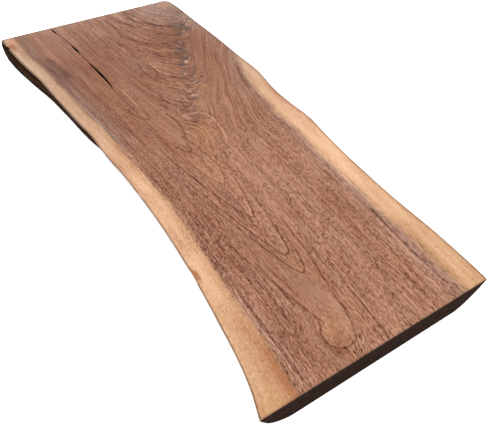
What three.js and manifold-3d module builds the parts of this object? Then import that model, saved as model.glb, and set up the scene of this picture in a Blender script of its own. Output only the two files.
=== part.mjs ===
// A live edge walnut board: one slab sawn lengthwise from a forked walnut log.
// Both long sides keep the rounded shape that the tree had under its bark, so the top
// face is the widest and the sides come in below it. The two ends are sawn square.
// Millimetres, +Z up. X runs along the board from its far end to its near end, and Y
// across it from its left side to its right side. The board lies flat on Z = 0 with the
// middle of the rectangle around it at X = 0, Y = 0.

import * as THREE from 'three';
import Module from 'manifold-3d';
import { mergeVertices } from 'three/addons/utils/BufferGeometryUtils.js';

const LENGTH = 569.4;
const THICKNESS = 27;
const LIP = 1.4;            // radius of the sanded upper edge of the two live sides
const ARRIS = 0.8;          // sanded corner round the sawn ends and the underside
const STATION_STEP = 8;     // distance between two sections of the board
const FACE_STRIPS = 5;      // strips that the top face and the underside are cut into

// The long edges of the top face. A point is the distance from the near end, then the
// distance across from the near left corner.
const LEFT_EDGE = [
  [0, -1], [6, 1], [20, 5.5], [40, 10], [75, 15], [115, 19.5], [165, 23.5], [220, 25],
  [270, 24], [305, 21.5], [342, 21], [368, 18], [430, 13], [462, 11], [500, 5.5],
  [535, 2], [569, 0],
];
const RIGHT_EDGE = [
  [0, 233], [5, 234], [60, 235], [120, 233], [190, 234.5], [222, 237], [256, 240],
  [290, 237.5], [322, 237.5], [358, 242], [400, 240], [450, 238.5], [500, 235.5],
  [550, 233], [563, 230.5], [567, 228], [569, 224],
];

// How far each side comes in between the upper and the lower edge, along the board. The
// left side is almost upright at the far end and a quarter round at the near end. The
// right side is a bevelled round that steepens where the fork was sawn off.
const LEFT_UNDERCUT = [
  [0, 33.5], [60, 33], [120, 31], [200, 27], [260, 22], [330, 13], [365, 9.5], [430, 8],
  [475, 5], [500, 4], [540, 1.5], [569, 1],
];
const RIGHT_UNDERCUT = [
  [0, 31], [80, 30], [160, 27.5], [240, 25], [320, 21], [370, 15], [420, 8.5],
  [480, 5], [569, 4],
];

// The share of the undercut that is a straight slope. The rest is a quarter round.
const LEFT_SLOPE_SHARE = [[0, 0.35], [220, 0.45], [330, 0.75], [569, 0.85]];
const RIGHT_SLOPE_SHARE = [[0, 0.55], [569, 0.7]];

// The belly of the left side a third of the way down, where the trunk swells to the fork.
const LEFT_BELLY = [[0, 0], [430, 0], [520, 1], [569, 2]];
const BELLY_SKEW = 0.65;

// Depths below the top face at which a side has a point.
const SIDE_DEPTHS = [0, 0.28 * LIP, LIP, 5, 9, 13, 17, 20.5, 23.5, 25.4, 26.5, THICKNESS];

// Shallow swellings of the wood under the bark: height, length along the board, drift
// down the side, and start.
const SWELLINGS = [
  { height: 0.35, length: 74, drift: 0.06, start: 0.4 },
  { height: 0.3, length: 41, drift: -0.11, start: 2.1 },
  { height: 0.2, length: 23, drift: 0.17, start: 4.4 },
];

// Drying splits in the top face, all on one line of the grain. Each opens between two
// distances from the near end, and is given by its place across, width and depth.
const SPLITS = [
  { from: 407, to: 474, across: [75.8, 72.3], bow: 1.3, width: 2.5, depth: 9 },
  { from: 492, to: 519, across: [71.4, 69.4], bow: 0.2, width: 2.2, depth: 7 },
  { from: 550, to: 567, across: [63.9, 61.7], bow: 0, width: 2, depth: 5 },
];
const SPLIT_TAPER = 0.6;     // below 1 a split stays wide for longer towards its ends
const SPLIT_STEPS = 10;

// A smooth curve through a list of [distance, value] points, read at one distance.
function curveAt(points, distance) {
  const last = points.length - 1;
  let i = 0;
  while (i < last - 1 && distance > points[i + 1][0]) i++;
  const slope = (k) => {
    const before = points[Math.max(k - 1, 0)];
    const after = points[Math.min(k + 1, last)];
    return (after[1] - before[1]) / (after[0] - before[0]);
  };
  const span = points[i + 1][0] - points[i][0];
  const s = (distance - points[i][0]) / span;
  const rise = s * s * (3 - 2 * s);
  return (1 - rise) * points[i][1] + rise * points[i + 1][1]
    + s * (1 - s) * (1 - s) * span * slope(i)
    - s * s * (1 - s) * span * slope(i + 1);
}

// The swellings at one place on a side, fading out at the upper and lower edges.
function swellingAt(distance, depth, side) {
  const fade = Math.sin(Math.PI * depth / THICKNESS);
  const waves = SWELLINGS.map((w) => w.height
    * Math.sin(2 * Math.PI * (distance / w.length) + w.drift * depth + w.start * side));
  return fade * waves.reduce((sum, wave) => sum + wave, 0);
}

// How far in from the edge of the top face a side lies at one depth.
function insetAt(undercut, slopeShare, depth) {
  const t = depth / THICKNESS;
  const round = 1 - Math.sqrt(1 - t * t);
  const lip = depth < LIP ? LIP - Math.sqrt(LIP ** 2 - (LIP - depth) ** 2) : 0;
  const foot = depth === THICKNESS ? ARRIS : 0;
  return undercut * (slopeShare * t + (1 - slopeShare) * round) + lip + foot;
}

// One closed section of the board as [across, height] points: up the left side, over the
// top face, down the right side and back along the underside.
function sectionAt(distance) {
  const leftEdge = curveAt(LEFT_EDGE, distance);
  const rightEdge = curveAt(RIGHT_EDGE, distance);
  const leftSide = SIDE_DEPTHS.map((depth) => {
    const inset = insetAt(
      curveAt(LEFT_UNDERCUT, distance), curveAt(LEFT_SLOPE_SHARE, distance), depth);
    const belly = curveAt(LEFT_BELLY, distance)
      * Math.sin(Math.PI * (depth / THICKNESS) ** BELLY_SKEW);
    return [leftEdge + inset - belly + swellingAt(distance, depth, 1), THICKNESS - depth];
  });
  const rightSide = SIDE_DEPTHS.map((depth) => {
    const inset = insetAt(
      curveAt(RIGHT_UNDERCUT, distance), curveAt(RIGHT_SLOPE_SHARE, distance), depth);
    return [rightEdge - inset + swellingAt(distance, depth, 2), THICKNESS - depth];
  });
  const strip = (from, to) => Array.from({ length: FACE_STRIPS - 1 }, (_, i) => {
    const share = (i + 1) / FACE_STRIPS;
    return [from[0] + (to[0] - from[0]) * share, from[1]];
  });
  const lastOf = (side) => side[side.length - 1];
  return [
    ...leftSide.slice().reverse(),
    ...strip(leftSide[0], rightSide[0]),
    ...rightSide,
    ...strip(lastOf(rightSide), lastOf(leftSide)),
  ];
}

// The same section drawn in by the arris on every side, for the face of a sawn end.
function easedSection(section) {
  const across = section.map((point) => point[0]);
  const low = Math.min(...across);
  const high = Math.max(...across);
  const middle = (low + high) / 2;
  const narrow = (high - low - 2 * ARRIS) / (high - low);
  const flatten = (THICKNESS - 2 * ARRIS) / THICKNESS;
  return section.map(([y, z]) => [
    middle + (y - middle) * narrow,
    THICKNESS / 2 + (z - THICKNESS / 2) * flatten,
  ]);
}

// Distances from the near end at which the board has a section: close together at the
// ends, where the corners are rounded.
function stationDistances() {
  const nearEnd = [ARRIS, 2.5, 5];
  const farEnd = [LENGTH - 8, LENGTH - 5, LENGTH - 3, LENGTH - ARRIS];
  const stretch = farEnd[0] - nearEnd[2];
  const steps = Math.round(stretch / STATION_STEP);
  const middle = Array.from({ length: steps - 1 },
    (_, i) => nearEnd[2] + stretch * (i + 1) / steps);
  return [...nearEnd, ...middle, ...farEnd];
}

// The slab, lofted through its sections from the near end to the far end.
function slabGeometry() {
  const rings = stationDistances().map((distance) => ({
    x: LENGTH / 2 - distance,
    section: sectionAt(distance),
  }));
  const endRing = (ring, x) => ({ x, section: easedSection(ring.section) });
  rings.unshift(endRing(rings[0], LENGTH / 2));
  rings.push(endRing(rings[rings.length - 1], -LENGTH / 2));

  const count = rings[0].section.length;
  const positions = rings.flatMap(({ x, section }) => section.flatMap(([y, z]) => [x, y, z]));
  const triangles = [];
  for (let r = 0; r < rings.length - 1; r++) {
    for (let i = 0; i < count; i++) {
      const next = (i + 1) % count;
      const a = r * count + i;
      const b = r * count + next;
      triangles.push(a, b, a + count, b, b + count, a + count);
    }
  }
  const capFaces = (ring) => THREE.ShapeUtils.triangulateShape(
    ring.section.map(([y, z]) => new THREE.Vector2(y, z)), []);
  const farStart = (rings.length - 1) * count;
  for (const [a, b, c] of capFaces(rings[0])) triangles.push(a, b, c);
  for (const [a, b, c] of capFaces(rings[rings.length - 1])) {
    triangles.push(farStart + a, farStart + c, farStart + b);
  }

  const geometry = new THREE.BufferGeometry();
  geometry.setAttribute('position', new THREE.Float32BufferAttribute(positions, 3));
  geometry.setIndex(triangles);
  return geometry;
}

// The wedge of air in one split: a slit in plan that narrows to a line at its bottom.
function splitGeometry({ from, to, across, bow, width, depth }) {
  const above = 1;
  const middleAt = (s) => across[0] + (across[1] - across[0]) * s + bow * Math.sin(Math.PI * s);
  const halfAt = (s) => width / 2 * Math.max(Math.sin(Math.PI * s), 0) ** SPLIT_TAPER;
  const outline = [];
  for (let i = 0; i <= SPLIT_STEPS; i++) {
    const s = i / SPLIT_STEPS;
    outline.push(new THREE.Vector2(LENGTH / 2 - from - (to - from) * s, middleAt(s) + halfAt(s)));
  }
  for (let i = SPLIT_STEPS - 1; i > 0; i--) {
    const s = i / SPLIT_STEPS;
    outline.push(new THREE.Vector2(LENGTH / 2 - from - (to - from) * s, middleAt(s) - halfAt(s)));
  }
  const geometry = new THREE.ExtrudeGeometry(
    new THREE.Shape(outline), { depth: depth + above, bevelEnabled: false });
  const position = geometry.attributes.position;
  const bottomShare = 0.15;
  for (let i = 0; i < position.count; i++) {
    if (position.getZ(i) > 0) continue;
    const s = (LENGTH / 2 - position.getX(i) - from) / (to - from);
    const middle = middleAt(s);
    position.setY(i, middle + (position.getY(i) - middle) * bottomShare);
  }
  geometry.translate(0, 0, THICKNESS - depth);
  return geometry;
}

const wasm = await Module();
wasm.setup();

// A closed geometry as a solid that can be cut.
function toSolid(geometry) {
  const bare = geometry.clone();
  bare.deleteAttribute('normal');
  bare.deleteAttribute('uv');
  const merged = mergeVertices(bare, 1e-4);
  return new wasm.Manifold(new wasm.Mesh({
    numProp: 3,
    vertProperties: new Float32Array(merged.attributes.position.array),
    triVerts: new Uint32Array(merged.index.array),
  }));
}

// A cut solid as a geometry, its box centred on the origin and standing on Z = 0.
function toCentredGeometry(solid) {
  const { vertProperties, triVerts } = solid.getMesh();
  const geometry = new THREE.BufferGeometry();
  geometry.setAttribute('position', new THREE.Float32BufferAttribute(vertProperties, 3));
  geometry.setIndex(Array.from(triVerts));
  geometry.computeBoundingBox();
  const { min, max } = geometry.boundingBox;
  geometry.translate(-(min.x + max.x) / 2, -(min.y + max.y) / 2, -min.z);
  geometry.computeVertexNormals();
  return geometry;
}

const walnut = new THREE.MeshStandardMaterial({ color: 0xa4775d, roughness: 0.55, metalness: 0 });

const slab = SPLITS.reduce(
  (solid, split) => solid.subtract(toSolid(splitGeometry(split))), toSolid(slabGeometry()));
const board = new THREE.Mesh(toCentredGeometry(slab), walnut);
board.name = 'board';

const group = new THREE.Group();
group.add(board);
export default group;
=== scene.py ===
import math

import bpy
import numpy as np
from mathutils import Matrix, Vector
from mathutils.geometry import delaunay_2d_cdt


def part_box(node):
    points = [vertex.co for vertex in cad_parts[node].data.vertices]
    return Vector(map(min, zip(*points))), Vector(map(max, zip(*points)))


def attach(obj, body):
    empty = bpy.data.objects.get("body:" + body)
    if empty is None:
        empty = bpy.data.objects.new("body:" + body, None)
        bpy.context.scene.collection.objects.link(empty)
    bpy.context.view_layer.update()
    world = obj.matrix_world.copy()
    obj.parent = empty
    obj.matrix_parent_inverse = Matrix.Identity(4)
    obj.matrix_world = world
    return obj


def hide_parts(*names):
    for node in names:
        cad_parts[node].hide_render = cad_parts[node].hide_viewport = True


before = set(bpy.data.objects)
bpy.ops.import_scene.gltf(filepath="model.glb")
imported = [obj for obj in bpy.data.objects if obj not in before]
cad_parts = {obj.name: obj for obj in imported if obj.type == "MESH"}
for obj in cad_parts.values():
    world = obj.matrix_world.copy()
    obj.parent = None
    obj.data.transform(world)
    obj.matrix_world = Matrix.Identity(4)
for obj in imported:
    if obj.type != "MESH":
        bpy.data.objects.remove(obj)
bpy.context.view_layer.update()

# A live edge walnut board lying on a pale floor in soft studio light. Shapes are worked
# out in millimetres and turned to metres when a mesh is made. "Distance" is measured from
# the near sawn end, "across" from the near left corner, "depth" down from the top face.

# Camera
# It stands off the board's near left corner and looks down on it at about 46 degrees.

CAMERA_PLACE = (0.4076, -0.2360, 0.4050)
CAMERA_RIGHT = (0.54637, 0.83610, 0.04908)
CAMERA_UP = (-0.62318, 0.36668, 0.69079)
CAMERA_BACK = (0.55957, -0.40802, 0.72139)
CAMERA_LENS = 42.23


def show(name, data):
    """Puts a new object with that data in the scene and gives it back."""
    thing = bpy.data.objects.new(name, data)
    bpy.context.scene.collection.objects.link(thing)
    return thing


camera = show("camera", bpy.data.cameras.new("camera"))
camera.data.lens = CAMERA_LENS
camera.data.sensor_width = 36
turn = Matrix((CAMERA_RIGHT, CAMERA_UP, CAMERA_BACK)).transposed()
camera.matrix_world = Matrix.Translation(CAMERA_PLACE) @ turn.to_4x4()
bpy.context.scene.camera = camera

# Board: shape
# One slab sawn lengthwise from a forked walnut log, planed on both faces and sawn square at
# its ends. Its two long sides are the tree's own surface, cleaned of bark, so the top face
# is the widest and the sides come in below it. Three drying splits lie on one grain line.

MM = 0.001
LENGTH = 569.4
THICKNESS = 27
LIP = 1.4            # radius of the sanded upper edge of the two live sides
ARRIS = 0.8          # sanded corner round the sawn ends and the underside
NEAR_STEP = 2.0      # distance between two sections of the board, at the near end
FAR_STEP = 1.25      # and beyond the fork, where the figure is finer
COLUMN_STEP = 1.35   # distance between two points of a section on the top face
UNDER_COLUMNS = 36
END_STEP = 2.6       # distance between two points inside a sawn end

# The long edges of the top face, as distance and across.
LEFT_EDGE = [
    [0, -1], [6, 1], [20, 5.5], [40, 10], [75, 15], [115, 19.5], [165, 23.5], [220, 25],
    [270, 24], [305, 21.5], [342, 21], [368, 18], [430, 13], [462, 11], [500, 5.5], [535, 2],
    [569, 0],
]
RIGHT_EDGE = [
    [0, 233], [5, 234], [60, 235], [120, 233], [190, 234.5], [222, 237], [256, 240], [290, 237.5],
    [322, 237.5], [358, 242], [400, 240], [450, 238.5], [500, 235.5], [550, 233], [563, 230.5],
    [567, 228], [569, 224],
]

# How far each side comes in between the upper and the lower edge, the share of that which
# is a straight slope, and the belly of the left side.
LEFT_UNDERCUT = [
    [0, 33.5], [60, 33], [120, 31], [200, 27], [260, 22], [330, 13], [365, 9.5], [430, 8],
    [475, 5], [500, 4], [540, 1.5], [569, 1],
]
RIGHT_UNDERCUT = [
    [0, 31], [80, 30], [160, 27.5], [240, 25], [320, 21], [370, 15], [420, 8.5], [480, 5],
    [569, 4],
]
LEFT_SLOPE_SHARE = [[0, 0.35], [220, 0.45], [330, 0.75], [569, 0.85]]
RIGHT_SLOPE_SHARE = [[0, 0.55], [569, 0.7]]
LEFT_BELLY = [[0, 0], [430, 0], [520, 1], [569, 2]]
BELLY_SKEW = 0.65    # below 1, the belly is fullest above the middle of the side

# Shallow swellings of the wood under the bark: height, length, drift down the side, start.
SWELLINGS = [(0.35, 74, 0.06, 0.4), (0.3, 41, -0.11, 2.1), (0.2, 23, 0.17, 4.4)]

# Finer relief of the live sides: height, length along the board, width down the side. The
# last two are the ridges that the inner bark's fibres leave.
RELIEF = [(0.7, 34, 9), (0.35, 12, 4.5), (0.32, 26, 2.6), (0.2, 9, 2.1)]

# Nicks in the upper left edge: distance, length, how deep they cut in, how far down.
NICKS = [(549, 5, 2.2, 3.5), (130, 9, 0.9, 3), (238, 4, 0.5, 2), (417, 5, 0.6, 2.5)]

# Drying splits: from, to, across at both, bow, width, depth.
SPLITS = [
    (407, 474, 75.8, 72.3, 1.3, 2.5, 9),
    (492, 519, 71.4, 69.4, 0.2, 2.2, 7),
    (550, 567, 63.9, 61.7, 0, 2.0, 5),
]
CLOSED_HALF = 0.35   # half width of the strip of points for them, where the board is whole
# The grain line that the splits lie on.
SPLIT_LINE = [
    [0, 92], [200, 84], [407, 75.8], [473, 72.4], [493, 71.4], [518, 69.4], [551, 63.8],
    [566, 61.8], [570, 61.3],
]


def curve_at(points, at):
    """A smooth curve through [distance, value] points, straight beyond its ends."""
    x, value = np.array(points, float).T
    slope = np.empty_like(value)
    slope[1:-1] = (value[2:] - value[:-2]) / (x[2:] - x[:-2])
    slope[0] = (value[1] - value[0]) / (x[1] - x[0])
    slope[-1] = (value[-1] - value[-2]) / (x[-1] - x[-2])
    i = np.clip(np.searchsorted(x, at) - 1, 0, len(x) - 2)
    span = x[i + 1] - x[i]
    s = (at - x[i]) / span
    rise = s * s * (3 - 2 * s)
    inside = ((1 - rise) * value[i] + rise * value[i + 1]
              + s * (1 - s) ** 2 * span * slope[i]
              - s * s * (1 - s) * span * slope[i + 1])
    before = value[0] + (at - x[0]) * slope[0]
    after = value[-1] + (at - x[-1]) * slope[-1]
    return np.where(at < x[0], before, np.where(at > x[-1], after, inside))


def ease(low, high, value):
    """0 below low, 1 above high, and a smooth rise between them."""
    s = np.clip((value - low) / (high - low), 0, 1)
    return s * s * (3 - 2 * s)


def wander(seed, distance, depth, length, width):
    """Smooth random relief from 0 to 1, in lumps of that length along and width down."""
    chance = np.random.default_rng(seed)
    u = distance / length + 2
    v = depth / width + 2
    lattice = chance.random((int(LENGTH / length) + 6, int(THICKNESS / width) + 6))
    i, j = np.floor(u).astype(int), np.floor(v).astype(int)
    s, t = ease(0, 1, u - i), ease(0, 1, v - j)
    upper = lattice[i, j] * (1 - s) + lattice[i + 1, j] * s
    lower = lattice[i, j + 1] * (1 - s) + lattice[i + 1, j + 1] * s
    return upper * (1 - t) + lower * t


def inset_at(undercut, slope_share, distance, depth):
    """How far in from the edge of the top face a side with those two curves lies."""
    undercut, slope_share = curve_at(undercut, distance), curve_at(slope_share, distance)
    t = depth / THICKNESS
    round_part = 1 - np.sqrt(np.maximum(1 - t * t, 0))
    rise = np.clip(LIP - depth, 0, LIP)
    lip = LIP - np.sqrt(LIP ** 2 - rise ** 2)
    drop = np.clip(depth - (THICKNESS - ARRIS), 0, ARRIS)
    foot = ARRIS - np.sqrt(ARRIS ** 2 - drop ** 2)
    return undercut * (slope_share * t + (1 - slope_share) * round_part) + lip + foot


def relief_at(distance, depth, side):
    """The swellings and the finer relief of one live side, as a further inset."""
    fade = np.sin(np.pi * depth / THICKNESS)
    waves = sum(height * np.sin(2 * np.pi * distance / length + drift * depth + start * side)
                for height, length, drift, start in SWELLINGS)
    shallow = ease(0, 3, depth) * ease(0, 3, THICKNESS - depth)
    lumps = sum(height * (wander(10 * side + i, distance, depth, length, width) - 0.4)
                for i, (height, length, width) in enumerate(RELIEF))
    return shallow * lumps - fade * waves


def nick_at(distance, depth):
    """How far the nicks cut into the upper left edge."""
    cut = np.zeros_like(distance)
    for place, length, inward, down in NICKS:
        reach = ((distance - place) / length) ** 2 + (depth / down) ** 2
        cut = np.maximum(cut, inward * np.clip(1 - reach, 0, 1) ** 0.7)
    return cut


# Distances of the sections: close together where the corners of the ends are rounded.
corner = np.linspace(0, np.pi / 2, 5)
corner_run = ARRIS * (1 - np.cos(corner))
corner_draw = ARRIS * (1 - np.sin(corner))
run = np.linspace(ARRIS, LENGTH - ARRIS, 2000)
counted = np.cumsum((run[1] - run[0]) / np.interp(run, [200, 280], [NEAR_STEP, FAR_STEP]))
whole = np.interp(np.arange(counted[0], counted[-1]), counted, run)[1:-1]
stations = np.concatenate([corner_run, whole, LENGTH - corner_run[::-1]])
drawn_in = np.concatenate([corner_draw, np.zeros(len(whole)), corner_draw[::-1]])[:, None]
here = np.clip(stations, ARRIS, LENGTH - ARRIS)[:, None]

# The two live sides, from the top face down to the underside.
lip_turn = np.linspace(0, np.pi / 2, 6)
foot_turn = np.linspace(0, np.pi / 2, 4)[1:]
side_depths = np.concatenate([
    LIP * (1 - np.cos(lip_turn)),
    np.linspace(LIP, THICKNESS - ARRIS, 14)[1:],
    THICKNESS - ARRIS + ARRIS * np.sin(foot_turn),
])
side_at = np.broadcast_to(here, (len(stations), len(side_depths)))
side_depth = np.broadcast_to(side_depths, side_at.shape)
belly = curve_at(LEFT_BELLY, here) * np.sin(np.pi * (side_depth / THICKNESS) ** BELLY_SKEW)
left_side = (curve_at(LEFT_EDGE, here)
             + inset_at(LEFT_UNDERCUT, LEFT_SLOPE_SHARE, here, side_depth) - belly
             + relief_at(side_at, side_depth, 1) + nick_at(side_at, side_depth))
right_side = (curve_at(RIGHT_EDGE, here)
              - inset_at(RIGHT_UNDERCUT, RIGHT_SLOPE_SHARE, here, side_depth)
              - relief_at(side_at, side_depth, 2))

# The top face between the two lips, with points close together where the splits run.
split_middle = curve_at(SPLIT_LINE, here)
split_half = np.zeros_like(here)
split_depth = np.zeros_like(here)
for start, end, across_start, across_end, bow, width, depth in SPLITS:
    s = np.clip((here - start) / (end - start), 0, 1)
    open_part = np.sin(np.pi * s)
    within = (here > start) & (here < end)
    ragged = 1 + 0.3 * (wander(71, here, here * 0, 3.5, 9) - 0.5)
    middle = across_start + (across_end - across_start) * s + bow * open_part
    split_middle = np.where(within, middle, split_middle)
    split_half = np.where(within, width / 2 * open_part ** 0.6 * ragged, split_half)
    split_depth = np.where(within, depth * open_part ** 0.5, split_depth)
mouth = np.maximum(split_half, CLOSED_HALF)
wall_share = np.array([1, 0.62, 0.15])    # how wide the split still is, down one wall
wall_depth = np.array([0.06, 0.5, 1])     # and how deep it is there
left_wall = split_middle - mouth * wall_share
right_wall = split_middle + mouth * wall_share[::-1]
bank = np.array([0.35, 1.4])              # points on the face beside the mouth
left_bank = split_middle - mouth - bank[::-1]
right_bank = split_middle + mouth + bank


def strip(start, end, count):
    """Evenly spaced points between two lines of the face, neither line included."""
    share = np.arange(1, count) / count
    return start + (end - start) * share


left_lip, right_lip = left_side[:, :1], right_side[:, :1]
left_count = int(np.mean(left_bank[:, :1] - left_lip) / COLUMN_STEP)
right_count = int(np.mean(right_lip - right_bank[:, -1:]) / COLUMN_STEP)
top = np.hstack([
    strip(left_lip, left_bank[:, :1], left_count), left_bank, left_wall,
    right_wall, right_bank, strip(right_bank[:, -1:], right_lip, right_count),
])
top_depth = np.zeros_like(top)
first_wall = left_count - 1 + len(bank)
wall_columns = slice(first_wall, first_wall + 2 * len(wall_share))
top_depth[:, wall_columns] = split_depth * np.concatenate([wall_depth, wall_depth[::-1]])
under = strip(right_side[:, -1:], left_side[:, -1:], UNDER_COLUMNS)

# Whole sections, a row of points each: up the left side, over the top, down the right side
# and back underneath. The ends draw in by the width of their sanded corner.
across = np.hstack([left_side[:, ::-1], top, right_side, under])
depth = np.hstack([side_depth[:, ::-1], top_depth, side_depth,
                   np.full_like(under, THICKNESS)])
distance = np.broadcast_to(stations[:, None], across.shape)
low, high = across.min(1, keepdims=True), across.max(1, keepdims=True)
middle = (low + high) / 2
placed_across = middle + (across - middle) * (1 - 2 * drawn_in / (high - low))
placed_depth = THICKNESS / 2 + (depth - THICKNESS / 2) * (1 - 2 * drawn_in / THICKNESS)

row_count, row_size = across.shape
grid = np.arange(row_count * row_size).reshape(row_count, row_size)
nxt = np.roll(grid, -1, axis=1)
faces = np.stack([grid[:-1], nxt[:-1], nxt[1:], grid[1:]], -1).reshape(-1, 4).tolist()


def end_face(row):
    """Points and triangles that fill the outline of a sawn end."""
    outline = np.stack([placed_across[row], placed_depth[row]], 1)
    low, high = outline.min(0) + END_STEP / 2, outline.max(0) - END_STEP / 2
    inner = np.stack(np.meshgrid(np.arange(low[0], high[0], END_STEP),
                                 np.arange(low[1], high[1], END_STEP)), -1).reshape(-1, 2)
    beside = np.abs(inner[:, None] - outline[None]).max(2).min(1)
    inner = inner[beside > END_STEP * 0.45]
    points = np.vstack([outline, inner]).tolist()
    rim = [(i, (i + 1) % row_size) for i in range(row_size)]
    placed, _, triangles, origins, *_ = delaunay_2d_cdt(
        points, rim, [list(range(row_size))], 1, 1e-6)
    return np.array([list(point) for point in placed]), triangles, origins


extra_distance, extra_across, extra_depth = [], [], []
for row, place, forward in ((0, 0.0, True), (row_count - 1, LENGTH, False)):
    points, triangles, origins = end_face(row)
    numbers = []
    for point, origin in zip(points, origins):
        on_rim = [i for i in origin if i < row_size]
        if on_rim:
            numbers.append(int(grid[row, on_rim[0]]))
            continue
        numbers.append(grid.size + len(extra_across))
        extra_distance.append(place)
        extra_across.append(point[0])
        extra_depth.append(point[1])
    for corner_points in triangles:
        face = [numbers[i] for i in corner_points]
        y, z = points[corner_points, 0], points[corner_points, 1]
        area = sum(y[i - 1] * z[i] - y[i] * z[i - 1] for i in range(len(face)))
        faces.append(face if (area > 0) != forward else face[::-1])

along = np.append(distance, extra_distance)
all_across = np.append(across, extra_across)
below = np.append(depth, extra_depth)
shown_across = np.append(placed_across, extra_across)
shown_depth = np.append(placed_depth, extra_depth)

# The board stands where the CAD solid does, the middle of its box on the same middle.
box_low, box_high = (np.array(corner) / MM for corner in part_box("board"))
own_middle = (shown_across.min() + shown_across.max()) / 2
fit = min(1, (box_high[1] - box_low[1]) / np.ptp(shown_across))
places = np.stack([
    (box_high[0] + box_low[0]) / 2 + LENGTH / 2 - along,
    (box_high[1] + box_low[1]) / 2 + (shown_across - own_middle) * fit,
    box_high[2] - shown_depth,
], 1) * MM

mesh = bpy.data.meshes.new("walnut_board")
mesh.from_pydata(places.tolist(), [], faces)
mesh.validate()
mesh.polygons.foreach_set("use_smooth", np.ones(len(mesh.polygons), bool))
board = show("walnut_board", mesh)

# Board: grain
# The log's growth rings are cones round its pith, so the saw cuts them in tongues that
# open towards the fork. The line through the tongues' tips runs on as the feather of the
# crotch. A ring is named by its tip: the place on that line where it turns.

AXIS = [
    [-400, 92], [0, 95], [40, 99], [87, 102.5], [161, 100.5], [215, 101], [268, 105], [295, 118],
    [314, 126], [338, 134], [358, 148], [382, 163], [424, 179], [441, 184], [462, 194],
    [485, 207], [505, 218], [569, 250],
]
# Where the heartwood meets the sapwood on the two sides of the top face.
LEFT_HEART = [
    [0, 33], [20, 34.2], [53, 36.6], [87, 37.6], [120, 38.6], [150, 40.2], [180, 42.2], [210, 43],
    [240, 42.2], [270, 40.2], [300, 37.9], [330, 35.9], [365, 32.4], [399, 28.6], [430, 25.8],
    [471, 22.2], [492, 18.8], [510, 15.4], [530, 14.2], [550, 13.5], [569, 12.4],
]
RIGHT_HEART = [
    [0, 209], [36, 209.6], [61, 210.6], [87, 210.4], [112, 209.5], [137, 210.6], [167, 211.3],
    [200, 210], [217, 212], [234, 215], [260, 213.5], [283, 211.5], [294, 216], [311, 218],
    [328, 219], [348, 222.5], [365, 226], [382, 231.5], [405, 239], [440, 262], [569, 340],
]
# The run of the fibres on the right, which passes under the small turns of the sapwood.
RIGHT_RUN = [
    [0, 206], [112, 208], [209, 211], [283, 214], [330, 219], [365, 225], [405, 238], [440, 262],
    [569, 340],
]
TIPS = [13, 87, 109, 161, 211, 268, 335]   # tips of the rings that show as dark lines
NEAR_SPACING = 50      # tip to tip of the rings outside them, towards the near end
FAR_SPACING = 26       # and towards the fork
TIP_SHIFT = 12.5       # how far a tip moves for each millimetre of depth
FORK_AT = 285          # distance at which the fibres start to part
LEFT_BLUNT, LEFT_SPREAD = 8, 4.6       # how round a ring's tip is on the left, and how far it
RIGHT_BLUNT, RIGHT_SPREAD = 18, 11     # runs for each millimetre across, then on the right
STEM_DROP, STEM_RUN, STEM_SLOPE = 42, 28, 0.09  # in the stems it falls fast, then along a slope
RIGHT_SPAN = 107       # usual distance from the axis to the heartwood's edge on the right
HALVINGS = 36          # steps in which a tip is found
BULB = (26, 89, 13.5, 12.8)    # round end of the last tongue: distance, across, radii
BULB_RISE = 26         # the ring in its middle counts as having its tip that much further on


def soft_floor(value, softness):
    """The value where it is positive, easing to 0 below."""
    return softness * np.logaddexp(0, value / softness)


def left_ring_line(distance, tip):
    """Across place, left of the axis, of the ring with that tip."""
    past = np.maximum(distance - tip, 0)
    slowed = soft_floor(distance - 300, 25) - soft_floor(tip - 300, 25)
    trunk = np.maximum(past - 0.6 * slowed, 0) / LEFT_SPREAD + LEFT_BLUNT
    trunk = np.sqrt(trunk ** 2 - LEFT_BLUNT ** 2)
    stem = STEM_DROP * (1 - np.exp(-past / STEM_RUN)) + STEM_SLOPE * past
    line = curve_at(AXIS, tip) - (trunk + (stem - trunk) * ease(270, 390, tip))
    heart = curve_at(LEFT_HEART, distance)
    return heart + soft_floor(line - heart, 16)


def left_tip(distance, across):
    """Tip of the ring through a place left of the axis, found by halving."""
    low = np.full(distance.shape, -900.0)
    high = distance.astype(float)
    for _ in range(HALVINGS):
        middle = (low + high) / 2
        under_place = left_ring_line(distance, middle) < across
        low = np.where(under_place, middle, low)
        high = np.where(under_place, high, middle)
    return (low + high) / 2


def right_tip(distance, across):
    """Tip of the ring through a place right of the axis."""
    axis = curve_at(AXIS, distance)
    away = np.maximum(across - axis, 0)
    span = np.maximum(curve_at(RIGHT_RUN, distance) - axis, 30)
    away = away + (away / span) ** 2 * (RIGHT_SPAN - span)
    return distance - RIGHT_SPREAD * (np.sqrt(away ** 2 + RIGHT_BLUNT ** 2) - RIGHT_BLUNT)


def bulb_reach(distance, across):
    """Distance from the middle of the bulb, squared, which is 1 on its outline."""
    place, beside, long, wide = BULB
    return ((distance - place) / long) ** 2 + ((across - beside) / wide) ** 2


def tip_at(distance, across):
    """Tip of the ring through a place, with the bulb and without it."""
    on_left = across < curve_at(AXIS, distance)
    tip = np.where(on_left, left_tip(distance, across), right_tip(distance, across))
    return np.maximum(tip, TIPS[0] + BULB_RISE * (1 - bulb_reach(distance, across))), tip


def ring_number(tip):
    """Rings counted along the axis; a whole number is the dark line between two rings."""
    counted = np.interp(tip, TIPS, np.arange(len(TIPS)))
    outside = (tip - TIPS[0]) / NEAR_SPACING
    inside = len(TIPS) - 1 + (tip - TIPS[-1]) / FAR_SPACING
    return np.where(tip < TIPS[0], outside, np.where(tip > TIPS[-1], inside, counted))


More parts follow.
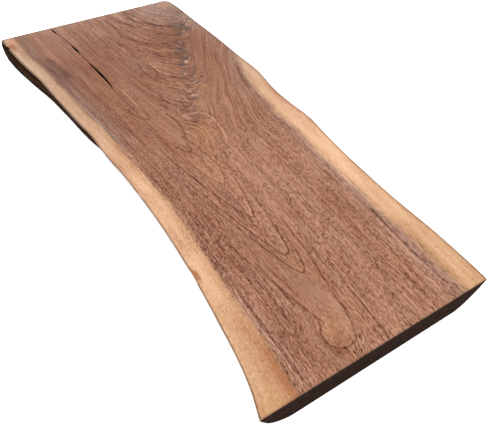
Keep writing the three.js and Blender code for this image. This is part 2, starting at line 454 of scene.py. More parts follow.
# A place below the top face takes the grain of the place above it, once the two live
# sides are pushed out to the edges of the top face.
edge_left, edge_right = curve_at(LEFT_EDGE, along), curve_at(RIGHT_EDGE, along)
in_left = inset_at(LEFT_UNDERCUT, LEFT_SLOPE_SHARE, along, below)
in_right = inset_at(RIGHT_UNDERCUT, RIGHT_SLOPE_SHARE, along, below)
share = (all_across - edge_left - in_left) / (edge_right - in_right - edge_left - in_left)
share = np.clip(share, 0, 1)
above = all_across - in_left * (1 - share) + in_right * share

# The ring at each place, and how wide it is there, from its neighbours a small step away.
STEP = 0.5
tip, plain_tip = tip_at(along, above)
ring = ring_number(tip - TIP_SHIFT * below)
beside, _ = tip_at(along, above + STEP)
further, _ = tip_at(along + STEP, above)
slope_across = (ring_number(beside - TIP_SHIFT * below) - ring) / STEP
slope_along = (ring_number(further - TIP_SHIFT * below) - ring) / STEP
ring_width = np.clip(1 / (np.hypot(slope_across, slope_along) + 1e-4), 1, 60)

# Fibres: straight lines along the trunk, then along the rings of the two stems.
left_heart = curve_at(LEFT_HEART, along)
right_run = curve_at(RIGHT_RUN, along)
fork_left, fork_right, fork_axis = (curve_at(line, FORK_AT)
                                    for line in (LEFT_HEART, RIGHT_RUN, AXIS))
trunk_fibre = fork_left + (above - left_heart) / (right_run - left_heart) * (fork_right - fork_left)
parting = 0.75 * np.exp(-np.maximum(bulb_reach(along, above) - 1, 0) / 1.6) * (below < LIP)
trunk_fibre -= (above - BULB[1]) * parting * 0.8
fork_distance = np.full_like(along, FORK_AT)
heart_side = np.maximum(above, left_heart + 3)
heart_tip = np.where(above < left_heart + 3, left_tip(along, heart_side), plain_tip)
past_fork = 0.5 * np.maximum(plain_tip - FORK_AT, 0)
stem_left = (left_ring_line(fork_distance, np.minimum(heart_tip, FORK_AT)) + past_fork
             + (above - heart_side))
stem_away = np.maximum(FORK_AT - plain_tip, 0) / RIGHT_SPREAD + RIGHT_BLUNT
stem_away = np.sqrt(stem_away ** 2 - RIGHT_BLUNT ** 2)
stem_right = fork_axis + stem_away - past_fork
axis_across = curve_at(AXIS, along)
stem_fibre = np.where(above < axis_across, stem_left, stem_right)
parted = ease(FORK_AT - 35, FORK_AT + 25, along)
fibre = trunk_fibre + (stem_fibre - trunk_fibre) * parted

# They bend round the eye, where the fork starts. Its centre, then how its hooked lines are
# drawn out along the board, towards the fork and towards the near end.
EYE = (290, 113)
EYE_LINES = 4.8        # distance between two of its lines
eye_run = along - EYE[0]
eye_run = np.where(eye_run > 0, eye_run / 1.45, eye_run / 2)
eye = np.hypot(eye_run, above - EYE[1])
eye_side = ease(109, 119, above) * ease(250, 275, along) * (below < LIP)
round_eye = ease(34, 22, eye) * eye_side
fibre += (EYE[1] + eye - fibre) * round_eye
eye_open = ease(23, 17, eye) * eye_side * ease(5, 9, eye)

# Sapwood: millimetres out past the heartwood, on the nearer side.
sapwood = np.maximum(left_heart - above, above - curve_at(RIGHT_HEART, along))
sapwood = np.clip(sapwood, -60, 40)

# The feather: barbs that sweep out from the axis, given by where each leaves it.
axis_slope = curve_at(AXIS, along + 1) - axis_across
off_axis = (above - axis_across) / np.sqrt(1 + axis_slope ** 2)
along_axis = along * 1.12 + off_axis * axis_slope / np.sqrt(1 + axis_slope ** 2)
barb = along_axis - np.abs(off_axis) * np.where(off_axis > 0, 0.7, 1.3)
feather_width = np.interp(along, [270, 300, 330, 400, 450, 520, 569],
                          [2, 8, 13, 14, 13, 16, 18])
feather = np.exp(-(off_axis / feather_width) ** 2) * ease(285, 325, along)
feather = feather * (1 - 0.6 * ease(480, 540, along)) * (below < 20)

# Marks of the figure where the two stems grew together, as distance, across, half length,
# half width, turn in degrees and strength.
GREY_MARKS = [
    (501, 214, 9, 7, 30, 0.9), (487, 213, 9, 7, 85, 0.85), (496, 205, 8, 4, 30, 0.8),
    (478, 201, 6, 5, 50, 0.75), (463, 190, 7, 5, 30, 0.85), (457, 194, 4, 3, 30, 0.7),
    (444, 184, 9, 7, -60, 0.85), (433, 185, 6, 4.5, -65, 0.7), (423, 179, 8, 4, -60, 1),
    (414, 168, 7, 5, 30, 0.85), (482, 188, 7, 6.5, -60, 0.45), (440, 175, 4.5, 3.5, -60, 0.5),
    (453, 132, 3.5, 3, 20, 0.5), (428, 130, 8, 5, 25, 0.35), (388, 154, 3, 2, 30, 0.7),
    (373, 153, 3.5, 3, -60, 0.6), (370, 139, 2, 1.5, -60, 0.7), (361, 139, 3, 2, -60, 0.9),
    (357, 145, 4.5, 1.6, -60, 0.9), (356, 152, 2.5, 2, -60, 1), (360, 153, 2, 1.5, 30, 0.8),
    (351, 136, 2, 1.5, -60, 0.8), (338, 131, 2.5, 1.6, -60, 1), (337, 136, 1.8, 1.5, 40, 0.9),
    (335, 140, 1.6, 1.5, 30, 0.9), (326, 135, 3, 1.6, -60, 0.9), (317, 131, 6, 4.5, -65, 0.6),
    (312, 136, 5, 4, -70, 0.45), (330, 129, 2.5, 2, -60, 0.6), (262, 105, 4, 1.6, 10, 0.5),
    (381, 176, 3.5, 2.5, -65, 0.7), (400, 163, 5, 3.5, 30, 0.7), (393, 170, 4, 2, -60, 0.7),
    (345, 134, 4, 2, -60, 0.7), (366, 150, 4, 2.5, 30, 0.6), (405, 173, 4, 3, -60, 0.7),
]
RED_MARKS = [
    (502, 186, 3.5, 2.5, -60, 1), (511, 182, 5, 3.5, -60, 0.9), (504, 199, 5.5, 2.5, -60, 0.6),
    (491, 175, 5.5, 2, -60, 0.9), (485, 180, 2.5, 2, -60, 0.8), (466, 173, 7.5, 1.6, -60, 0.8),
    (469, 203, 2.5, 2, -65, 0.8), (435, 196, 3.5, 1.6, 30, 0.8), (423, 188, 3, 1.6, -60, 0.8),
    (388, 165, 3.5, 3, 40, 0.9), (376, 158, 3, 2, -60, 0.7), (386, 153, 3.5, 3, -60, 0.5),
    (455, 87, 4, 3.5, 10, 0.5), (304, 124, 2.5, 1.5, -60, 0.8), (368, 174, 2.5, 1.6, 30, 0.7),
    (374, 167, 4.5, 1.5, -60, 0.6), (399, 173, 2.5, 1.5, -60, 0.6),
]
PALE_MARKS = [
    (417, 176, 3.6, 2.4, 30, 0.9), (497, 222, 3, 2.5, -65, 0.7), (502, 228, 3, 2, -65, 0.6),
    (548, 181, 2.5, 2, -60, 0.5), (542, 186, 3, 2, -60, 0.4), (363, 149, 3, 2.5, 30, 1),
    (351, 150, 4, 1.5, -60, 1), (356, 157, 2, 1.5, -65, 0.7), (385, 170, 1.8, 1.5, -65, 0.7),
    (395, 162, 4, 2, 30, 0.5), (372, 143, 2, 1.5, -60, 0.5), (408, 171, 4, 2, 30, 0.4),
]


def oval(place, beside, long, wide, turned=0):
    """A soft oval patch: 1 in its middle, fading to 0 outside it."""
    run, off = along - place, above - beside
    c, s = math.cos(math.radians(turned)), math.sin(math.radians(turned))
    reach = ((run * c + off * s) / long) ** 2 + ((off * c - run * s) / wide) ** 2
    return np.exp(-reach)


def marks_at(marks):
    """The strongest of those marks at each point of the top face, from 0 to 1."""
    strongest = np.zeros_like(above)
    for *shape, strength in marks:
        strongest = np.maximum(strongest, strength * oval(*shape))
    return strongest * (below < LIP)


# Single lines of the figure, as distance and across: dark ones, soft dark ones, pale ones.
DARK_LINES = [
    [(555, 130), (534, 134), (505, 132), (491, 143), (477, 151), (457, 161)],
    [(522, 114), (512, 117), (501, 120), (486, 122)], [(520, 176), (512, 183), (507, 190)],
    [(470, 169), (466, 174), (464, 182)], [(453, 150), (445, 152), (437, 156)],
    [(565, 198), (557, 204), (551, 209)], [(440, 122), (429, 121), (411, 121)],
    [(429, 134), (420, 134), (412, 135)],
    [(408, 131), (401, 132), (394, 135), (388, 140), (385, 144)],
    [(309, 124), (309, 127), (308, 131), (302, 134), (295, 136), (288, 138)],
    [(314, 146), (310, 148), (306, 149)], [(352, 136), (349, 141), (345, 145)],
    [(346, 135), (341, 139)], [(340, 130), (334, 139)], [(361, 111), (359, 115), (352, 117)],
    [(355, 108), (350, 110), (343, 111)],
    [(337, 105), (326, 108), (318, 109), (300, 107), (290, 103)],
    [(550, 64.5), (535, 67), (519, 69.4)], [(492, 71.4), (481, 72), (474, 72.5)],
    [(368, 68.5), (360, 71.8), (350, 74), (341, 78), (336, 85), (345, 86)],
    [(294, 101.6), (284, 104), (273, 106.5), (262, 107.5), (254, 108.6)],
    [(283, 87), (274, 90.5), (268, 96), (270, 99.5), (282, 99.5)], [(366, 114), (354, 116.5)],
    [(50, 72), (66, 71.5)], [(64, 76), (90, 75), (116, 72.5)], [(70, 83), (85, 82), (106, 78.5)],
    [(34, 106), (44, 109), (53, 110), (71, 113), (92, 117), (106, 119.5), (127, 121), (146, 123)],
    [(3, 42.6), (39, 43), (66, 43.6), (100, 43.4)], [(52, 200), (40, 201), (23, 200)],
    [(113, 204), (104, 203.5), (93, 202), (83, 201.5)],
    [(68, 201), (55, 200), (45, 202), (37, 204)],
    [(87, 128.6), (60, 125.8), (40, 124.2), (6, 122)],
]
SOFT_LINES = [
    [(546, 160), (535, 165), (529, 169), (523, 177), (516, 182), (509, 189), (500, 200)],
    [(569, 136), (542, 146), (531, 153), (524, 157), (518, 164)],
    [(384, 230), (366, 221), (350, 216.5), (336, 214)],
    [(499, 33), (487, 36), (472, 39), (453, 41)],
]
PALE_LINES = [
    [(324, 127), (322, 137), (316, 143), (305, 146), (293, 146), (281, 144), (272, 141), (264, 137)],
    [(400, 83), (381, 83.5), (362, 84)],
    [(434, 135), (424, 136), (416, 137), (410, 140), (405, 143)], [(395, 139), (390, 143)],
    [(414, 119), (405, 120)], [(515, 169), (510, 174), (505, 176)],
    [(557, 163), (545, 167), (539, 168)], [(78, 198.5), (57, 197), (43, 196)],
    [(31, 190), (22, 191), (15, 191)],
    [(0, 39.4), (39, 40.6), (65, 40.4), (78, 40.4), (91, 41.5), (102, 42.4)],
]


def away_from(lines):
    """Millimetres to the nearest of those lines, from each point of the mesh."""
    nearest = np.full_like(above, 9.0)
    for line in lines:
        for (d0, a0), (d1, a1) in zip(line, line[1:]):
            run, off = d1 - d0, a1 - a0
            share = ((along - d0) * run + (above - a0) * off) / (run ** 2 + off ** 2)
            share = np.clip(share, 0, 1)
            gap = np.hypot(along - d0 - share * run, above - a0 - share * off)
            nearest = np.minimum(nearest, gap)
    return np.where(below < LIP, nearest, 9.0)


# How plainly the rings show: well round their tips, then less and less along their arms.
# The last tongue is dense late wood with few pores.
past_tip = along - np.minimum(tip, along)
arm_fade = np.where(above < axis_across, ease(210, 50, past_tip), ease(75, 15, past_tip))
ring_show = 0.06 + 0.94 * ease(-0.6, -0.1, ring) * ease(6.2, 5.4, ring) * arm_fade
ring_show *= 1 - 0.9 * ease(240, 285, along)
ring_show *= 1 - 0.4 * np.exp(-((ring - 4) / 0.4) ** 2)
ring_show *= 1 - 0.4 * np.exp(-(ring / 0.5) ** 2)
last_tongue = ease(-0.1, 0.05, ring) * ease(1.15, 1.0, ring) * ease(6, 14, ring_width)
just_inside = ease(0.45, 0.1, ring % 1) * ease(0.9, 1, ring) * ease(5.5, 5, ring)
calm = ease(75, 50, along) + ease(190, 220, along) * ease(300, 270, along)
smooth_wood = np.maximum.reduce([
    last_tongue * (0.15 + 0.85 * ease(150, 60, past_tip)),
    0.8 * ease(20, 10, eye) * eye_side, 0.6 * just_inside * ease(70, 20, past_tip),
    ease(75, 55, above) * ease(370, 430, along), 0.35 * calm * ease(95, 85, above),
])

# How many millimetres the heartwood takes to fade into the sapwood: fewer on the left.
fray = 3.0 + 1.8 * ease(100, 140, above)

# Millimetres in from the edges of the top face. The brink counts them short or long where
# the thin dark line along the edge is wide or narrow.
rim = np.clip(np.minimum(above - edge_left, edge_right - above), 0, 30)
brink = np.minimum.reduce([(3 + 5 * ease(400, 450, along)) * (above - edge_left),
                           edge_right - above, along, 0.7 * (LENGTH - along)])

# Stain: mauve grey bands beside the sapwood and the grey far right corner. Towards the far end
# the heartwood is also greyed as painted sheen.
purple_line = curve_at([
    [300, 190], [324, 194], [351, 201], [377, 211], [399, 223], [421, 236.5], [460, 262]], along)
right_band = 0.5 * ease(-2, 3, above - purple_line) * ease(300, 330, along)
left_band = 0.8 * ease(26, 8, above - left_heart) * ease(270, 340, along)
corner_grey = ease(0.6, 1.4, (along - 455) / 100 + (above - 165) / 80)
near_bands = 0.3 * ease(9, 1, above - left_heart) + 0.6 * ease(16, 2, right_run - above)
far_grey = 0.55 * ease(430, 569, along)
stain_and_sheen = np.clip(np.maximum.reduce([right_band, left_band, corner_grey, near_bands, far_grey]), 0, 1)

# Warm patches: orange tan wood round the eye, in the bulb and in one of the tongues.
WARM = [
    (289, 125, 17, 12, 0.95), (262, 114, 22, 11, 0.45), (240, 95, 20, 5, 0.4),
    (27, 88, 12, 10, 0.65), (360, 168, 11, 9, 0.8), (333, 152, 9, 9, 0.6), (98, 102, 9, 4.5, 0.8),
    (558, 8, 7, 6, 0.45), (554, 217, 8, 6, 0.6), (470, 172, 14, 12, 0.35),
]
warm = np.zeros_like(above)
for *shape, strength in WARM:
    warm = np.maximum(warm, strength * oval(*shape))
gold_tongue = ease(3.96, 4.04, ring) * ease(4.65, 4.25, ring) * ease(70, 30, past_tip)
warm = np.maximum(warm, 0.5 * gold_tongue * (below < LIP))

# How much lighter or darker the wood is than usual, as distance and change: the heartwood
# left and right of the axis, then the sapwood on the left and on the right.
HEART_LEFT = [
    [0, 0.02], [100, 0], [170, -0.02], [240, 0], [300, -0.02], [380, -0.08], [460, -0.12],
    [530, 0], [569, 0.08],
]
HEART_RIGHT = [
    [0, 0.1], [100, 0.08], [170, 0.11], [240, 0.11], [300, 0.03], [380, -0.04], [460, -0.1],
    [520, 0.02], [569, 0.1],
]
# The sapwood on the left and towards the near left corner is set darker than on the right; part of
# that is painted shade, not the wood's own tone.
SAP_LEFT = [
    [0, -0.12], [60, -0.03], [95, -0.02], [165, -0.07], [235, -0.05], [305, -0.09], [380, -0.05],
    [460, -0.01], [569, -0.05],
]
SAP_RIGHT = [[0, -0.02], [110, 0], [165, 0.06], [245, 0], [305, -0.05], [365, 0], [569, 0]]
in_sapwood = ease(-1, 1, sapwood)
smooth_wood = np.maximum(smooth_wood, 0.8 * warm * ease(285, 260, along))
on_left = above < axis_across
heart_shade = np.where(on_left, curve_at(HEART_LEFT, along), curve_at(HEART_RIGHT, along))
sap_shade = np.where(on_left, curve_at(SAP_LEFT, along), curve_at(SAP_RIGHT, along))
sap_shade -= 0.25 * on_left * ease(20, 4, sapwood) * ease(120, 10, along)
sap_shade -= 0.1 * ease(10, 2, sapwood)
sap_shade -= 0.16 * ease(7, 1, rim) * (1 - on_left)
# Brown stains round two of the nicks: distance, across, half length, half width, strength.
for *shape, darker in ((130, 22.5, 6, 2.5, 0.9), (547, 5, 9, 3, 0.6)):
    sap_shade -= darker * oval(*shape)
shade = heart_shade + (sap_shade - heart_shade) * in_sapwood + 0.2 * right_band * (1 - in_sapwood)
shade -= 0.1 * ease(24, 8, above - left_heart) * ease(380, 450, along) * (1 - in_sapwood)
shade += 0.07 * corner_grey

# Broad soft patches of the heartwood: distance, across, half length, half width, how much
# lighter or darker, how grey.
PATCHES = [
    (564, 110, 9, 90, 0.05, 0.7), (556, 164, 13.5, 9, -0.34, 0), (554, 217, 7, 5, 0.07, 0),
    (522, 224, 9, 7, -0.07, 0), (505, 105, 20, 14, -0.07, 0), (498, 208, 11.5, 10.5, -0.38, 0),
    (480, 200, 8, 7, -0.08, 0), (470, 95, 55, 45, -0.03, 0.2), (460, 48, 45, 14, 0.02, 0.5),
    (456, 190, 10, 8, -0.08, 0), (455, 230, 30, 9, 0.1, 0.6), (440, 208, 16, 9, -0.05, 0.1),
    (436, 116, 26, 20, 0.06, 0.45), (431, 182, 9, 7, -0.08, 0), (430, 180, 14, 8, -0.06, 0),
    (415, 224, 18, 7, 0.1, 0.5), (400, 166, 13, 6, -0.1, 0.1), (395, 90, 30, 8, 0.04, 0.3),
    (392, 112, 15, 8, -0.07, 0), (386, 77, 8, 4, -0.12, 0.4), (368, 212, 16, 5, -0.02, 0.3),
    (350, 139, 9, 6, -0.06, 0), (329, 133.5, 9.5, 6.5, -0.11, 0), (312, 129, 8.5, 6.5, -0.18, 0),
    (290, 126, 18, 15, -0.1, 0), (270, 176, 20, 7, -0.07, 0), (236, 103, 14, 6, -0.05, 0),
    (222, 170, 19, 9, -0.07, 0), (200, 62, 19, 8, -0.06, 0), (142, 177, 19, 9, -0.12, 0),
    (112, 60, 20, 8, -0.1, 0), (100, 130, 19, 10, 0.05, 0), (100, 85, 16, 7, 0.05, 0),
    (60, 95, 15, 8, 0.07, 0), (60, 55, 22, 7, -0.07, 0), (50, 200, 45, 6, 0.13, 0.55),
    (50, 42, 60, 4.5, 0.12, 0.55), (30, 108, 12, 5, -0.09, 0), (18, 78, 8, 6, -0.1, 0),
    (15, 86, 6, 9, -0.12, 0),
]
for *shape, lighter, grey in PATCHES:
    reach = oval(*shape) * (1 - in_sapwood)
    shade += lighter * reach
    stain_and_sheen = np.maximum(stain_and_sheen, grey * reach)

# The live sides below their sanded lips, the sawn ends, and the insides of the splits.
side_rind, no_side, no_under = ease(0.9, 1.6, side_depth), 0 * side_depth, 0 * under
rind = np.hstack([side_rind[:, ::-1], 0 * top, side_rind, no_under])
rind = rind * ease(ARRIS + THICKNESS, THICKNESS - 0.4, depth)
split_dark = np.hstack([no_side, ease(0, 0.3, top_depth), no_side, no_under])
rind, split_dark = (np.append(on_rows, np.zeros(len(extra_across)))
                    for on_rows in (rind, split_dark))

fields = {
    "ring": ring, "ring_width": ring_width, "sapwood": sapwood, "feather": feather, "eye": eye,
    "stain_and_sheen": stain_and_sheen, "warm": warm, "rind": rind, "split": split_dark, "parted": parted,
    "eye_open": eye_open, "grey_marks": marks_at(GREY_MARKS), "red_marks": marks_at(RED_MARKS),
    "pale_marks": marks_at(PALE_MARKS), "ring_show": ring_show, "fray": fray,
    "smooth_wood": smooth_wood, "dark_lines": away_from(DARK_LINES),
    "pale_lines": away_from(PALE_LINES), "soft_lines": away_from(SOFT_LINES),
    "shade": shade, "brink": brink, "grain": np.stack([along, fibre, below], 1),
    "plume": np.stack([barb, off_axis, below], 1),
}
for name, values in fields.items():
    kind, slot = ("FLOAT", "value") if values.ndim == 1 else ("FLOAT_VECTOR", "vector")
    layer = mesh.attributes.new(name, kind, "POINT")
    layer.data.foreach_set(slot, values.astype(np.float32).ravel())

# Board: finish
# Black walnut, planed, sanded and rubbed with oil: chocolate heartwood with dark pores,
# honey sapwood, end grain that drinks the oil and turns dark, painted almost black as shade,
# and live sides brown from what is left of the inner bark, painted darker as shade. The oil
# leaves a satin surface, not a gloss.


def start_material(name, on_mesh):
    """Gives a mesh one more material, without nodes, and gives back its node tree."""
    material = bpy.data.materials.new(name)
    material.use_nodes = True
    material.node_tree.nodes.clear()
    on_mesh.materials.append(material)
    return material.node_tree


def linear(code):
    """An sRGB hex colour as linear red, green, blue and alpha."""
    parts = [int(code[i:i + 2], 16) / 255 for i in (1, 3, 5)]
    return [c / 12.92 if c <= 0.04045 else ((c + 0.055) / 1.055) ** 2.4 for c in parts] + [1]


def add(kind, *values, output=0, named=None, stops=(), **settings):
    """Adds a node to the tree and gives back one output. A second word in its kind is what it
    does. The values fill its inputs in order and None skips one, named fills inputs by name,
    and stops are the places and colours of a colour ramp."""
    kind, _, does = kind.partition(" ")
    node = tree.nodes.new("ShaderNode" + kind)
    if does:
        setting = {"MapRange": "interpolation_type", "MixRGB": "blend_type"}.get(kind, "operation")
        settings[setting] = does
    for name, value in settings.items():
        setattr(node, name, value)
    for key, value in [*enumerate(values), *(named or {}).items()]:
        if isinstance(value, bpy.types.NodeSocket):
            tree.links.new(value, node.inputs[key])
        elif value is not None:
            node.inputs[key].default_value = linear(value) if isinstance(value, str) else value
    for i, (place, code) in enumerate(stops):
        bar = node.color_ramp.elements
        stop = bar[i] if i < len(bar) else bar.new(place)
        stop.position = place
        stop.color = linear(code)
    return node.outputs[output] if len(node.outputs) else None


tree = start_material("oiled_black_walnut", mesh)
at = {name: add("Attribute", attribute_name=name, output="Fac" if values.ndim == 1 else "Vector")
      for name, values in fields.items()}

# Random streaks: millimetres along the fibre, millimetres across it, detail. All lie round
# 0.5. The finest are coarser than real fibres, which no picture of a whole board shows.
STREAKS = {
    "patches": (60, 18, 2), "bands": (80, 5, 2), "streaks": (26, 2, 2), "fibres": (7, 0.95, 1),
    "grit": (3, 0.6, 0), "threads": (38, 1.5, 2), "ragged": (6, 2, 2), "dashes": (9, 3, 2),
    "slivers": (45, 3.5, 2), "hairs": (36, 1.2, 1),
}
streaks = {}
for number, (name, (long, wide, detail)) in enumerate(STREAKS.items()):
    size, start = (1 / long, 1 / wide, 1 / wide), [17.3 * number] * 3
    place = add("VectorMath MULTIPLY_ADD", at["grain"], size, start)
    streaks[name] = add("TexNoise", place, None, 1.0, detail, 0.55)
centred = {name: add("Math SUBTRACT", value, 0.5) for name, value in streaks.items()}

# Heartwood tone: what each kind of streak adds near the end and beyond the fork.
rough_wood = add("MapRange", at["smooth_wood"], 0, 1, 1, 0.5)
tone = add("Math", at["shade"], 0.5)
for name, in_trunk, in_stems in (
        ("patches", 0.2, 0.3), ("bands", 0.25, 0.5), ("streaks", 0.3, 0.4),
        ("hairs", 0.75, 0.8), ("fibres", 0.95, 0.6), ("grit", 1.3, 0.7)):
    weight = add("MapRange", at["parted"], 0, 1, in_trunk, in_stems)
    if name in ("fibres", "grit", "hairs"):
        weight = add("Math MULTIPLY", weight, rough_wood)
    tone = add("Math MULTIPLY_ADD", centred[name], weight, tone)

# Dark threads along the fibres, mostly in the heartwood's outer parts.
threads = add("MapRange SMOOTHSTEP", streaks["threads"], 0.5, 0.36, 0, 1)
outer = add("MapRange SMOOTHSTEP", at["sapwood"], -58, -25, 0.3, 1)
thread_gaps = add("MapRange SMOOTHSTEP", streaks["dashes"], 0.4, 0.55, 0.2, 1)
for part in (outer, rough_wood, thread_gaps):
    threads = add("Math MULTIPLY", threads, part)
tone = add("Math MULTIPLY_ADD", threads, -0.2, tone)

# A ring starts with a pale band and ends in a thin brown line, broken here and there.
wave = add("Math DIVIDE", centred["ragged"], at["ring_width"])
ring_wavy = add("Math MULTIPLY_ADD", wave, 1.6, at["ring"])
through = add("MapRange SMOOTHSTEP", add("Math FRACT", ring_wavy), 0.03, 0.4, 1, 0)
from_line = add("Math MULTIPLY", add("Math PINGPONG", ring_wavy, 0.5), at["ring_width"])
line = add("MapRange SMOOTHSTEP", from_line, 0.3, 1.3, 1, 0)
broken = add("MapRange SMOOTHSTEP", streaks["dashes"], 0.34, 0.54, 0.5, 1)
line = add("Math MULTIPLY", add("Math MULTIPLY", line, broken), at["ring_show"])
through = add("Math MULTIPLY", through, at["ring_show"])
tone = add("Math MULTIPLY_ADD", through, 0.14, tone)
tone = add("Math MULTIPLY_ADD", line, -0.62, tone)

# The eye's hooked lines.
eye_mm = add("Math MULTIPLY_ADD", centred["ragged"], 5.0, at["eye"])
eye_wave = add("Math SINE", add("Math MULTIPLY", eye_mm, 2 * math.pi / EYE_LINES))
eye_wave = add("Math MULTIPLY", eye_wave, at["eye_open"])
tone = add("Math MULTIPLY_ADD", eye_wave, 0.13, tone)

# Single lines of the figure: dark and pale ones a millimetre or two wide, and soft ones.
for name, change, width, gaps in (
        ("dark_lines", -0.43, 1.8, broken), ("pale_lines", 0.4, 1.6, 1),
        ("soft_lines", -0.33, 5.5, broken)):
    reach = add("Math MULTIPLY_ADD", centred["ragged"], 1.2, at[name])
    drawn = add("MapRange SMOOTHSTEP", reach, 0.2, width, 1, 0)
    drawn = add("Math MULTIPLY", drawn, gaps)
    tone = add("Math MULTIPLY_ADD", drawn, change, tone)

heart = add("ValToRGB", tone, stops=[
    (0.0, "#4e2006"), (0.25, "#6f3d20"), (0.5, "#84563c"), (0.75, "#9b6d53"), (1.0, "#aa7e64")])
greyed = add("ValToRGB", tone, stops=[(0.0, "#44332b"), (0.5, "#765b4f"), (1.0, "#9e8377")])
greyed_share = add("MapRange SMOOTHSTEP", streaks["bands"], 0.3, 0.65, 0.45, 1)
greyed_share = add("Math MULTIPLY", at["stain_and_sheen"], greyed_share)
mauve = add("MapRange SMOOTHSTEP", streaks["slivers"], 0.42, 0.62, 0, 0.2)
greyed_share = add("Math MAXIMUM", greyed_share, mauve)
heart = add("MixRGB", greyed_share, heart, greyed)
warmed = add("ValToRGB", tone, stops=[(0.0, "#6a3f24"), (0.5, "#90613f"), (1.0, "#ae805c")])
heart = add("MixRGB", at["warm"], heart, warmed)

# The feather: dark and pale barbs, and the torn marks where the stems grew together.
barbs, torn = (
    add("TexNoise", add("VectorMath MULTIPLY", at["plume"], (1 / long, 1 / wide, 1 / wide)),
        None, 1.0, detail, rough)
    for long, wide, detail, rough in ((4.2, 12, 3, 0.6), (2.8, 8, 2, 0.55)))
for name, low, high, code, most in (
        ("grey_marks", 0.49, 0.63, "#463329", 0.8), ("red_marks", 0.57, 0.75, "#5c3322", 0.5),
        ("pale_marks", 0.46, 0.34, "#ab8c7a", 0.45)):
    barb_share = add("MapRange SMOOTHSTEP", barbs, low, high, 0, most)
    barb_share = add("Math MULTIPLY", barb_share, at["feather"])
    mark = add("Math MULTIPLY", at[name], add("MapRange", torn, 0.38, 0.62, 0.2, 1.8))
    mark = add("MapRange SMOOTHSTEP", mark, 0.15, 0.8, 0, 0.9)
    heart = add("MixRGB", add("Math MAXIMUM", barb_share, mark), heart, code)

# Sapwood: honey coloured, lightest a third of the way along, darker to both ends and greyer
# to the far end, partly as painted shade, with soft streaks and fine flecks.
along_board = add("Math DIVIDE", add("SeparateXYZ", at["grain"]), LENGTH)
sap = add("ValToRGB", along_board, stops=[
    (0.0, "#b18962"), (0.1, "#b58d69"), (0.19, "#bb926e"), (0.3, "#c09775"), (0.43, "#bf9675"),
    (0.55, "#b99273"), (0.68, "#aa8a6e"), (0.87, "#a4866c"), (1.0, "#a07f68")])
sap_tone = add("Math", at["shade"], 0.5)
for name, weight in (("slivers", 0.35), ("patches", 0.5), ("grit", 0.5), ("fibres", 0.25)):
    sap_tone = add("Math MULTIPLY_ADD", centred[name], weight, sap_tone)
sap = add("MixRGB", add("MapRange", sap_tone, 0.5, 0.1, 0, 0.8), sap, "#86481c")
sap = add("MixRGB", add("MapRange", sap_tone, 0.5, 0.9, 0, 0.7), sap, "#dbb797")
sap = add("MixRGB", at["warm"], sap, "#c4866a")

# Where they meet, one fades into the other, frayed along the fibres.
frayed = add("Math MULTIPLY", centred["streaks"], 1.6)
frayed = add("Math MULTIPLY_ADD", centred["fibres"], 1.4, frayed)
frayed = add("Math", add("Math DIVIDE", at["sapwood"], at["fray"]), frayed)
sap_share = add("MapRange SMOOTHSTEP", frayed, -1, 1)
top_colour = add("MixRGB", sap_share, heart, sap)

# Pores: open vessels cut along their length, dark dashes about 4 mm long. Real ones are
# 0.2 mm wide. They are drawn 0.7 mm wide, so that they show.
PORE_LENGTH, PORE_PITCH = 5.0, 0.9
pore_wave = add("CombineXYZ", 0, add("Math MULTIPLY", centred["ragged"], 0.7))
pore_size = (1 / PORE_LENGTH, 1 / PORE_PITCH, 1 / PORE_PITCH)
pore_place = add("VectorMath MULTIPLY_ADD", at["grain"], pore_size, pore_wave)
pore_distance = add("TexVoronoi", pore_place, None, 1.0, feature="F1")
pores = add("MapRange SMOOTHSTEP", pore_distance, 0.16, 0.42, 1, 0)
pore_amount = add("MapRange", at["parted"], 0, 1, 1.3, 0.45)
for value, low, high, at_low, at_high in (
        (at["smooth_wood"], 0, 1, 1, 0.35), (streaks["patches"], 0.42, 0.62, 1, 0.4),
        (streaks["hairs"], 0.62, 0.4, 0.35, 1.35), (sap_share, 0, 1, 1, 0.22)):
    part = add("MapRange", value, low, high, at_low, at_high)
    pore_amount = add("Math MULTIPLY", pore_amount, part)
pore_shade = add("Math MULTIPLY", pores, pore_amount)
top_colour = add("MixRGB MULTIPLY", pore_shade, top_colour, "#764833")

# A thin dark line of painted shade, for the rounded edge turning from the light, runs along
# all edges, and the sanded lip darkens further down.
painted_edge_shade = add("MapRange SMOOTHSTEP", at["brink"], 0.1, 2.0, 0.6, 0)
top_colour = add("MixRGB", painted_edge_shade, top_colour, "#38291e")
# Down the lip the colour turns to the bark's dark brown, which is partly painted shade.
colour = add("MixRGB", at["rind"], top_colour, "#261307")
# The splits are painted near black, as their shade.
colour = add("MixRGB", at["split"], colour, "#120501")

# Relief: the pores are pits 0.1 mm deep. They reflect nothing, and nor does what is left
# of the bark.
height = add("Math MULTIPLY", pore_shade, -0.1)
height = add("Math MULTIPLY_ADD", streaks["fibres"], 0.03, height)
bumped = add("Bump", named={"Strength": 0.6, "Distance": MM, "Height": height})
roughness = add("Math MULTIPLY_ADD", pore_shade, 0.2, 0.55)
roughness = add("Math MAXIMUM", roughness, at["split"])
dull = add("Math MAXIMUM", pore_shade, at["rind"])
reflection = add("MapRange", dull, 0, 0.7, 0.3, 0)
add("OutputMaterial", add("BsdfPrincipled", colour, named={
    "Roughness": roughness, "IOR": 1.5, "Specular IOR Level": reflection, "Normal": bumped}))

